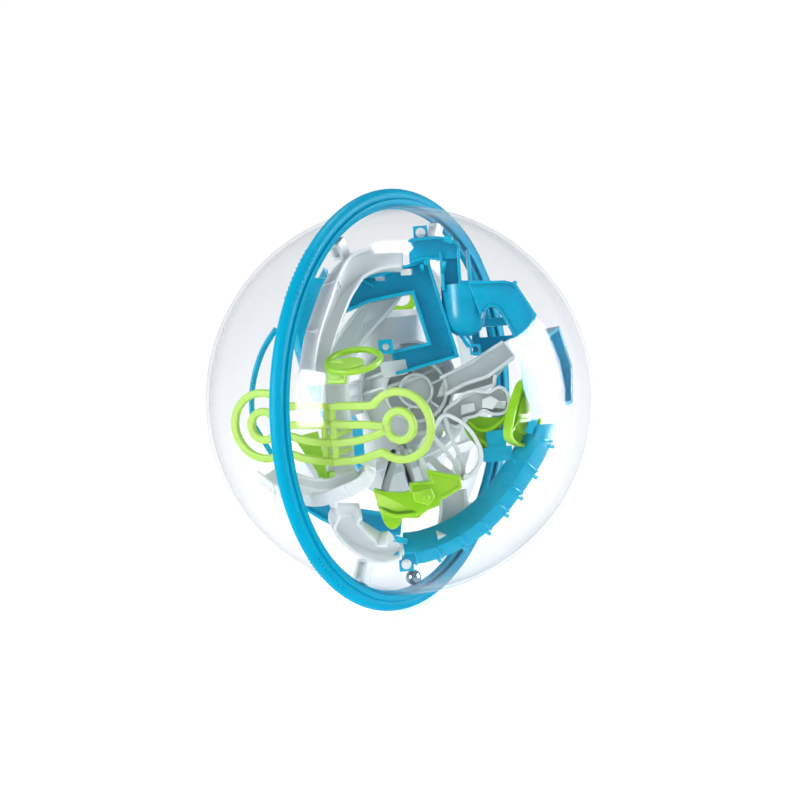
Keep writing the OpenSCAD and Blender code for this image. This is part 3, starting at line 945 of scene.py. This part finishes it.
class MakeCup(bpy.types.Operator):
    """Make the drop column, its round cup and the ramp that leaves it"""
    bl_idname = "tilt_maze.cup"
    bl_label = "Cup and ramp"

    def execute(self, context):
        column = Moulding(front(40))
        column.slab([(24.2, 51), (33, 51), (33, 70), (24.2, 70)], 0, 1.6)
        column.wall([(24.9, 70), (24.9, 51)], 1.5, 0, 8)
        column.wall([(33.2, 70), (33.2, 51)], 1.5, 0, 9)
        column.wall([(38, 70), (38, 54)], 1.5, -4, 7)
        column.wall([(33.2, 54.4), (46, 53.4)], 1.4, -4, 9)
        column.finish("drop_column", "blue", ("blue_column",))

        cup = Moulding(front(40))
        profile = [(10.6, 25.5, 0), (10.6, 17, 0), (10.4, 11, 0), (9.6, 6.8, 0),
                   (7.6, 3, 0), (4.6, 0.8, 0), (1.2, 0, 0), (0.9, 1.5, 0), (4.2, 2.4, 0),
                   (6.6, 4.4, 0), (8.2, 7.4, 0), (8.9, 11.4, 0), (9.1, 17, 0), (9.1, 25.5, 0)]
        cup.cup(34.4, 28.2, profile)
        cup.finish("round_cup", "blue", ("blue_cup",), edge=0.2)

        ramp = Moulding(front(49))
        floor = [(37, 53.2), (54, 52.4), (58.6, 50.8), (66.4, 36.4), (64, 26), (58, 25.5),
                 (54.6, 33.2), (50.4, 41), (46.6, 42.4), (43.6, 41.4), (41.6, 37)]
        ramp.slab(floor, 0, 1.5)
        ramp.wall([(37, 53.4), (54, 52.6), (59, 51)], 1.4, -7, 4)
        ramp.wall([(58.6, 51.2), (66.8, 36.2), (66, 26)], 1.4, -3, 7)
        ramp.wall([(43.4, 40), (46.6, 42.2), (50.4, 40.8), (54.6, 33.2), (58, 25.5)],
                  1.3, -5, 2.2)
        ramp.pin(58.9, 51.6, 1.1, 2, 6).pin(66.9, 35.6, 1.1, 2, 8)
        ramp.finish("upper_ramp", "blue", ("blue_track_upper",))
        return {"FINISHED"}


class MakeTopTrack(bpy.types.Operator):
    """Make the blue track at the top, which turns into the drop column"""
    bl_idname = "tilt_maze.top_track"
    bl_label = "Top track"

    def execute(self, context):
        top = Moulding(front(45))
        edge = rounded([(9.5, 75.4), (17, 76.2), (25, 75.8), (33.6, 72.4)])
        low = [(33.2, 66), (24.6, 66), (18, 67.2), (9.5, 65.4)]
        top.slab(edge + low, 0, 1.6)
        top.wall(edge, 1.5, 0, 8)
        top.wall([(9.5, 65.6), (18, 67.4), (24.4, 66.2)], 1.4, 0, 3)
        top.wall([(33.4, 72.4), (33.2, 66)], 1.4, -5, 6)
        top.slab([(27, 77), (31, 75.8), (30, 72.6), (26.4, 73.8)], 5, 9)
        top.finish("top_track", "blue", ("blue_track_top",))

        oval = Moulding(place(19.5, 22, 77, 0, -48))
        oval.wall(ellipse((-2.2, -0.5), 12.6, 11.4, range(0, 360, 8)), 3.0, 0, 2.6, closed=True)
        oval.slab(rounded([(-12, -8), (-4, -10), (3, -6), (2, 0), (-6, 2), (-12, -2)],
                          closed=True, steps=4), 0, 2.4)
        oval.finish("green_ring", "green", ("green_oval",), edge=0.9, segments=3)

        boss = Moulding(place(12, 19, 79))
        boss.slab(ellipse((0, 0), 5.2, 5.0, range(0, 360, 15)), -1, 3.4)
        boss.slab([(-4.6, -6.4), (4.6, -6.4), (4.6, 0), (-4.6, 0)], -1, 2.6)
        boss.finish("green_ring_boss", "green", (), edge=0.8, segments=3)
        return {"FINISHED"}


class MakeRails(bpy.types.Operator):
    """Make the green rails with a loop and an eye at each end"""
    bl_idname = "tilt_maze.rails"
    bl_label = "Green rails"

    def execute(self, context):
        bar, thick = 3.7, 3.0
        loop_at, loop_r, eye_r = 36.0, 15.9, 6.9
        rails = Moulding(place(8, 0, 75))
        for side in (1, -1):
            loop = ellipse((loop_at, 0), loop_r, loop_r, range(-128, 146, 6))
            back = rounded([(21, 9.4), (13, 9.3), (5, 9.3), (0.6, 8.2), (-1, 4.8), (0.6, 1.6),
                            (6, 0.4), (18, 0.4), (29.4, -0.6)], steps=5)
            foot = rounded([(0, -17.4), (13.5, -16.2), (21, -14)], steps=5)
            eye = ellipse((loop_at, 0), eye_r, eye_r, range(0, 360, 10))
            middle = rounded([(0, -8.4), (13, -7.2), (22, -4.9), (29.8, -2)], steps=5)
            for line, closed in ((foot + loop + back, False), (eye, True), (middle, False)):
                rails.wall([(side * p[0], p[1]) for p in line], bar, 0, thick, closed)
        for x in (-4, 1):
            rails.wall([(x, -17.4), (x, 0)], 2.8, -1, 2)
        for y in (-18, -9):
            rails.wall([(-8.6, y + 1.2), (-6, y + 1.2)], 2.4, -32, 1)
        # The rails take the green that is painted paler for the light on them
        rails.finish("green_rails_moulded", "rail", ("green_rails",), edge=1.0, segments=3)
        return {"FINISHED"}


class MakeHub(bpy.types.Operator):
    """Make the hub's drum, its arm, the stepped platform and the hooked loop"""
    bl_idname = "tilt_maze.hub"
    bl_label = "Hub, arm, platform and loop"

    def execute(self, context):
        drum = Moulding(front(24))
        middle, ring_r, core_r = (8, 4), 15, 8
        ring = ellipse(middle, ring_r, ring_r, range(0, 360, 9))
        drum.wall(ring, 1.6, 0, 11, closed=True)
        drum.wall(ellipse(middle, core_r, core_r, range(0, 360, 12)), 1.5, 2, 9, closed=True)
        drum.slab(ring, 0, 1.5)
        for angle in (20, 95, 170, 245, 320):
            drum.wall([ellipse_point(middle, r, r, angle) for r in (core_r, ring_r)], 1.4, 0, 8)
        drum.slab([(-8, 27), (2, 27.6), (2, 23.4), (-8, 22)], 8, 14)
        drum.slab([(-9, 19), (4, 19.6), (5, 12.6), (-7, 11)], 8, 16)
        dish = rounded([(-14, 20), (2, 28), (18, 25), (27, 14), (25, -2), (16, -14), (2, -18),
                        (-12, -14), (-19, 2)], closed=True)
        drum.slab(dish, -3, -1.6)
        drum.wall(dish, 1.5, -3, 4, closed=True)
        drum.finish("hub_drum_moulded", "white", ("hub_drum",))

        arm = Moulding(front(31))
        arm.slab([(18, 0), (22, 9), (34, 14.5), (52, 24), (58, 17.5), (45, 4.4), (30, 1.2)],
                 0, 1.6)
        arm.wall([(20, 9.2), (34, 14.8), (52, 24.4)], 1.6, 0, 9)
        arm.wall([(22, 1), (32, 5.4), (43, 8), (57.4, 17)], 1.8, 0, 11)
        arm.wall([(24, -4), (36, 1.5), (46, 3.6)], 1.7, 0, 13)
        arm.wall([(46, 3.6), (46.8, 8.8)], 1.7, 0, 12)
        arm.slab([(52, 24), (56.5, 26), (59, 22), (57, 17)], 3, 10)
        arm.finish("hub_arm", "white", ("hub_arm_track",))

        platform = Moulding(front(39))
        deck = [(21, -7), (27, -3), (30, 0.2), (36, 1.6), (43, 0.4), (48, 2.6), (51.4, 0),
                (52.3, -5), (50, -9.6), (44, -10.2), (40, -8), (36, -10.4), (30, -11.4),
                (27, -14.6), (22.6, -13.4)]
        platform.slab(deck, 0, 2)
        platform.wall(rounded(deck, closed=True, steps=3), 1.5, 0, 8.6, closed=True)
        platform.slab([(28.5, -9.6), (36, -8), (35.4, -4), (29, -4.6)], 2, 6)
        platform.slab([(39, -6.6), (44, -8), (47.6, -4), (43.6, -1.4), (39.6, -2.6)], 2, 9.6)
        platform.slab([(45, -7.4), (50, -8), (51.2, -4.4), (47, -4)], 2, 7)
        platform.finish("stepped_platform", "white", ("hub_platform",))

        loop = Moulding(front(45.5))
        hook = rounded([(13.4, -17.4), (19.6, -9.2), (26, -11.2), (31.8, -16.6), (36, -25),
                        (36.2, -32), (32, -37.6), (25.4, -40), (17, -39), (10.6, -34),
                        (7.4, -27), (9.4, -20.8)], closed=True, steps=5)
        loop.wall(hook, 1.9, 0, 10, closed=True)
        loop.wall([(13.2, -16.6), (17.4, -22.6), (23.4, -31.4), (26, -38.6)], 2.2, 1, 6)
        loop.wall([(20.8, -9.8), (22, -16.2), (28, -33), (27.6, -39)], 2.0, 0, 4)
        loop.slab([(11, -30), (16, -36.4), (22, -38.8), (23, -36.6), (17.4, -32), (13.6, -27)],
                  0, 1.6)
        loop.pin(28.5, -39, 1.5, 2, 13)
        loop.finish("hooked_loop", "white", ("white_paddle",))
        return {"FINISHED"}


class MakeWaves(bpy.types.Operator):
    """Make the green stepped walls, saddle and leaf"""
    bl_idname = "tilt_maze.waves"
    bl_label = "Green walls"

    def execute(self, context):
        wave = Moulding(front(62))
        crest = rounded([(-16, -41.5), (-11, -43.6), (-7, -44.2), (-2, -44.6), (2, -44)], steps=4)
        wave.slab([*crest, (2.2, -40.4), (7, -40.6), (12, -40.2), (10.8, -35), (14, -35.4),
                   (18.6, -37.2), (24.8, -38.6), (25.2, -43), (16, -47.8), (14.8, -51.2),
                   (9, -53), (5.4, -55.4), (1.4, -52.4), (-6, -52.8), (-14.2, -49)], 0, 1.8)
        wave.wall(crest, 1.8, -10, 1.8)
        wave.wall([(2, -44), (2.2, -40.4), (12, -40.2), (10.8, -35), (18.6, -37.2),
                   (24.8, -38.6), (25.2, -43), (16, -47.8)], 1.8, -9, 2.4)
        wave.slab([(2.4, -43.6), (11.6, -42.8), (12.8, -47), (9.4, -50.6), (3, -48.4)], 1.8, 5.4)
        wave.pin(9, -46.8, 1.5, 3, 8)
        wave.finish("stepped_wave", "green", ("green_wave",), edge=0.55, segments=3)

        low = Moulding(front(58))
        low.slab(rounded([(-14.2, -47), (-13.2, -53), (-11.6, -58.2), (-8.2, -61), (-4.4, -58.8),
                          (-3, -56), (4.6, -56.4), (5, -53.4), (-2, -51)], closed=True, steps=3),
                 0, 4)
        low.wall(rounded([(-13.6, -51), (-8, -54), (-2, -54.6), (4.4, -54.2)]), 1.8, 3, 9)
        low.finish("stepped_wave_foot", "green", ("green_wave_lower",), edge=0.6, segments=3)

        saddle = Moulding(front(37) @ Matrix.Translation((2, -1, 0)))
        saddle.slab(rounded([(28, -14), (33, -9.6), (40, -10.6), (47, -10.2), (51.4, -7.4),
                             (50.8, -13), (46, -15), (44.4, -20), (41, -22.6), (40.4, -29),
                             (37, -31), (34, -25), (30, -20)], closed=True, steps=3), 0, 6)
        saddle.wall(rounded([(30, -12), (35, -16.4), (42, -15.6), (50, -9)]), 1.8, 4, 10)
        saddle.wall(rounded([(34, -20), (38, -24), (39, -29)]), 1.8, 4, 9)
        saddle.finish("green_saddle_moulded", "green", ("green_saddle",), edge=0.8, segments=3)

        leaf = Moulding(place(78, -1, 73))
        blade = rounded([(-3, -13), (-1, -3), (4, 6), (9, 12), (14, 10), (17, 1), (18, -8),
                         (13, -16), (6, -18)], closed=True, steps=4)
        leaf.slab(blade, 0, 2.2)
        leaf.wall(blade, 1.8, 0, 5.5, closed=True)
        leaf.slab(rounded([(2, -8), (5, 3), (9, 6), (12, 0), (12, -9), (7, -13)],
                          closed=True, steps=3), 2, 4.6)
        leaf.wall([(-2, -10), (4, -4), (14, -6)], 1.6, 1, 5)
        leaf.finish("green_leaf_moulded", "green", ("green_leaf",), edge=0.6, segments=3)
        return {"FINISHED"}


# ---------- Ribs and pins along the tracks ----------

# Shares of the right track's length where its ribs and pins stand
RIGHT_STEPS = (0.10, 0.22, 0.34, 0.45, 0.57, 0.69, 0.80, 0.91)
# Offset across, height of the middle, height, and the shares of each track's length
PAIRED_RIBS = {
    "white": (6.4, 4.0, 7.0, {
        "bowl": (0.15, 0.4, 0.62, 0.86), "white_bottom": (0.2, 0.55, 0.9),
        "white_top": (0.2, 0.42, 0.7), "far_white": (0.1, 0.4, 0.7)}),
    "blue": (7.4, 4.2, 7.4, {
        "blue_top": (0.3, 0.7), "far_blue": (0.1, 0.3, 0.5, 0.7, 0.9)}),
}


class MakeRibs(bpy.types.Operator):
    """Make the ribs across the tracks' outsides and the locating pins"""
    bl_idname = "tilt_maze.ribs"
    bl_label = "Ribs and pins"

    def execute(self, context):
        flat, pins = [], []
        for share in RIGHT_STEPS:
            spot = TRACKS["blue_right"].station(share)
            flat.append(spot @ Matrix.Translation((7.3, 0, 4.2))
                        @ Matrix.Rotation(math.radians(90), 4, "Y"))
            pins.append(spot @ Matrix.Translation((6.3, 2.4, 8.6)))
        add_piece("right_track_ribs", studs(
            "right_track_ribs", flat, 8.8, 1.1, 0.8, False, "blue"), "blue")
        add_piece("right_track_pins", studs(
            "right_track_pins", pins, 1.9, 1.9, 4.6, True, "blue"), "blue")
        for plastic, (aside, up, height, rows) in PAIRED_RIBS.items():
            frames = [TRACKS[key].station(share) @ Matrix.Translation((aside * side, 0, up))
                      for key, shares in rows.items() for share in shares for side in (-1, 1)]
            name = plastic + "_track_ribs"
            add_piece(name, studs(name, frames, 0.9, 1.7, height, False, plastic), plastic)
        return {"FINISHED"}


# ---------- Raised numbers and arrows ----------

def text_mesh(text, size, height, name):
    """Raised figures, flat on XY, centred, in millimetres."""
    curve = bpy.data.curves.new(name, "FONT")
    curve.body = text
    curve.size = size
    curve.align_x = "CENTER"
    curve.align_y = "CENTER"
    curve.extrude = height / 2
    curve.resolution_u = 3
    holder = bpy.data.objects.new(name, curve)
    bpy.context.scene.collection.objects.link(holder)
    mesh = bpy.data.meshes.new_from_object(holder)
    bpy.data.objects.remove(holder)
    return mesh


def arrow_outline(size):
    """A plain arrow along +Y, centred."""
    return [(-0.12 * size, -0.5 * size), (0.12 * size, -0.5 * size), (0.12 * size, 0.1 * size),
            (0.34 * size, 0.1 * size), (0.0, 0.5 * size), (-0.34 * size, 0.1 * size),
            (-0.12 * size, 0.1 * size)]


def add_prism(bm, outline, height, spot):
    """Adds a flat outline with a height to a bmesh, at a frame in millimetres."""
    low = [bm.verts.new((spot @ Vector((x, y, -height / 2))) * MM) for x, y in outline]
    high = [bm.verts.new((spot @ Vector((x, y, height / 2))) * MM) for x, y in outline]
    count = len(outline)
    bm.faces.new(list(reversed(low)))
    bm.faces.new(high)
    for i in range(count):
        bm.faces.new((low[i], low[(i + 1) % count], high[(i + 1) % count], high[i]))


# Track, share of its length, number, turn of the figures, arrow or not
NUMBERS = {
    "white": [
        ("white_top", 0.50, "65", -90, True), ("white_top", 0.30, "64", -90, False),
        ("white_top", 0.12, "63", -90, False), ("white_bottom", 0.30, "57", 0, True),
        ("bowl", 0.35, "58", 0, True), ("far_white", 0.2, "21", 0, True),
        ("far_white", 0.5, "22", 0, True), ("far_white", 0.8, "23", 0, True)],
    "blue": [
        ("blue_top", 0.35, "67", 180, True), ("blue_upper", 0.72, "70", 180, True),
        ("far_blue", 0.15, "31", 0, True), ("far_blue", 0.5, "32", 0, True),
        ("far_blue", 0.85, "33", 0, True)],
}
FIGURE_SIZE = 6.0
ARROW_SIZE = 4.0
ARROW_BELOW = 6.0
FLOOR_T = 1.6


class MakeMarks(bpy.types.Operator):
    """Make the raised numbers and arrows on the tracks' floors"""
    bl_idname = "tilt_maze.marks"
    bl_label = "Numbers and arrows"

    def execute(self, context):
        height = sizes("plastic").mark_height / MM
        for finish, rows in NUMBERS.items():
            bm = bmesh.new()
            for track, share, text, turn, arrow in rows:
                spot = TRACKS[track].station(share)
                spot = spot @ Matrix.Translation((0, 0, FLOOR_T + height / 2))
                spot = spot @ Matrix.Rotation(math.radians(turn), 4, "Z")
                figures = text_mesh(text, FIGURE_SIZE, height, "figures")
                figures.transform(Matrix.Scale(MM, 4) @ spot)
                bm.from_mesh(figures)
                if arrow:
                    below = spot @ Matrix.Translation((0, -ARROW_BELOW, 0))
                    add_prism(bm, arrow_outline(ARROW_SIZE), height, below)
            mesh = mesh_from(bm, "raised_numbers_" + finish)
            add_piece(mesh.name, mesh, finish, smooth=False)
        return {"FINISHED"}


# ---------- Stage ----------

WALL_TOP = 0.30              # the walls' brightness begins to fade at this height
CEILING_FROM = 0.62
FLOOR_RADIUS = 40.0
FLOOR_DROP = 0.2 * MM
SENSOR_WIDTH = 36.0
# Name, centre, direction of its width, width and height, power, seen in reflections only
SOFT_BOXES = [
    ("reflected_right", (0.264, -0.441, 0.066), (0.84, 0.54, 0.0), (0.29, 0.34), 33.0, True),
    ("reflected_left", (-0.534, 0.150, 0.088), (0.3, 0.95, 0.0), (0.15, 0.27), 13.0, True),
    ("reflected_top", (0.097, 0.047, 0.5475), (0.45, -0.89, 0.0), (0.14, 0.07), 6.0, True),
    ("key_left", (-0.9, 0.35, 0.75), (0.3, 0.95, 0.0), (0.5, 0.5), 8.5, False),
    ("key_right", (0.35, -1.1, 0.35), (0.84, 0.54, 0.0), (0.5, 0.5), 4.0, False),
]


def soft_box(name, centre, across, size, power, in_reflections):
    """A rectangular soft light aimed at the ball, or only its reflection."""
    data = bpy.data.lights.new(name, "AREA")
    data.shape = "RECTANGLE"
    data.size, data.size_y = size
    data.energy = power
    lamp = bpy.data.objects.new(name, data)
    back = Vector(centre).normalized()
    side = (Vector(across) - back * Vector(across).dot(back)).normalized()
    lamp.matrix_world = Matrix.Translation(centre) @ Matrix(
        (side, back.cross(side), back)).transposed().to_4x4()
    lamp.visible_camera = False
    lamp.visible_diffuse = not in_reflections
    lamp.visible_glossy = in_reflections
    bpy.context.scene.collection.objects.link(lamp)


def make_room(walls, ceiling):
    """A pale room: bright walls to above eye level, and a dimmer ceiling."""
    room = bpy.data.worlds.new("room")
    room.use_nodes = True
    tree = room.node_tree
    background = tree.nodes["Background"]
    where = tree.nodes.new("ShaderNodeTexCoord")
    split = tree.nodes.new("ShaderNodeSeparateXYZ")
    fade = tree.nodes.new("ShaderNodeMapRange")
    fade.interpolation_type = "SMOOTHSTEP"
    fade.inputs[1].default_value = WALL_TOP
    fade.inputs[2].default_value = CEILING_FROM
    fade.inputs[3].default_value = walls
    fade.inputs[4].default_value = ceiling
    tree.links.new(where.outputs["Generated"], split.inputs[0])
    tree.links.new(split.outputs["Z"], fade.inputs[0])
    tree.links.new(fade.outputs[0], background.inputs["Strength"])
    background.inputs["Color"].default_value = WHITE
    return room


class MakeStage(bpy.types.Operator):
    """Make the camera, the floor and the soft lights"""
    bl_idname = "tilt_maze.stage"
    bl_label = "Stage"

    def execute(self, context):
        stage = sizes("stage")
        scene = context.scene
        scene.view_settings.view_transform = "Standard"
        scene.world = make_room(stage.room_light, stage.ceiling_light)

        camera = bpy.data.objects.new("camera", bpy.data.cameras.new("camera"))
        camera.data.sensor_width = SENSOR_WIDTH
        camera.data.lens = stage.lens
        camera.data.clip_start = 0.01
        level = math.cos(stage.elevation)
        towards = Vector((level * math.cos(stage.azimuth), level * math.sin(stage.azimuth),
                          math.sin(stage.elevation)))
        aim = towards.to_track_quat("Z", "Y").to_matrix().to_4x4()
        camera.matrix_world = (Matrix.Translation(towards * stage.distance) @ aim
                               @ Matrix.Rotation(stage.roll, 4, "Z"))
        scene.collection.objects.link(camera)
        scene.camera = camera

        bm = bmesh.new()
        bmesh.ops.create_circle(bm, cap_ends=True, segments=96, radius=FLOOR_RADIUS)
        bmesh.ops.translate(bm, vec=(0, 0, CAD_BOX[0][2] - FLOOR_DROP), verts=bm.verts)
        mesh = bpy.data.meshes.new("floor")
        bm.to_mesh(mesh)
        bm.free()
        floor = bpy.data.objects.new("floor", mesh)
        scene.collection.objects.link(floor)
        mesh.materials.append(finish_for("floor"))

        for row in SOFT_BOXES:
            soft_box(*row)
        return {"FINISHED"}


# ---------- Panel and registration ----------

OPERATORS = (
    MakeStage, MakeShells, MakeRim, MakeSteelBall, MakeTracks, MakeRails, MakeSquareTrack,
    MakeTopTrack, MakeCup, MakeHub, MakeWaves, MakeRibs, MakeMarks,
)
GROUPS = {
    "rim": RimSizes, "shell": ShellSizes, "plastic": PlasticSizes,
    "colours": Colours, "stage": StageSizes,
}


class TiltMazePanel(bpy.types.Panel):
    bl_idname = "VIEW3D_PT_tilt_maze"
    bl_label = "Tilt maze game"
    bl_space_type = "VIEW_3D"
    bl_region_type = "UI"
    bl_category = "Tilt Maze"

    def draw(self, context):
        for name, group in GROUPS.items():
            box = self.layout.box()
            box.label(text=name.capitalize())
            for key in group.__annotations__:
                box.prop(sizes(name), key)
        for made in OPERATORS:
            self.layout.operator(made.bl_idname)


def register():
    for made in (*GROUPS.values(), *OPERATORS, TiltMazePanel):
        bpy.utils.register_class(made)
    for name, group in GROUPS.items():
        setattr(bpy.types.Scene, "tilt_maze_" + name, bpy.props.PointerProperty(type=group))


def unregister():
    for name in GROUPS:
        delattr(bpy.types.Scene, "tilt_maze_" + name)
    for made in reversed((*GROUPS.values(), *OPERATORS, TiltMazePanel)):
        bpy.utils.unregister_class(made)


def main():
    register()
    for made in OPERATORS:
        group, name = made.bl_idname.split(".")
        getattr(getattr(bpy.ops, group), name)()


if __name__ == "__main__":
    main()
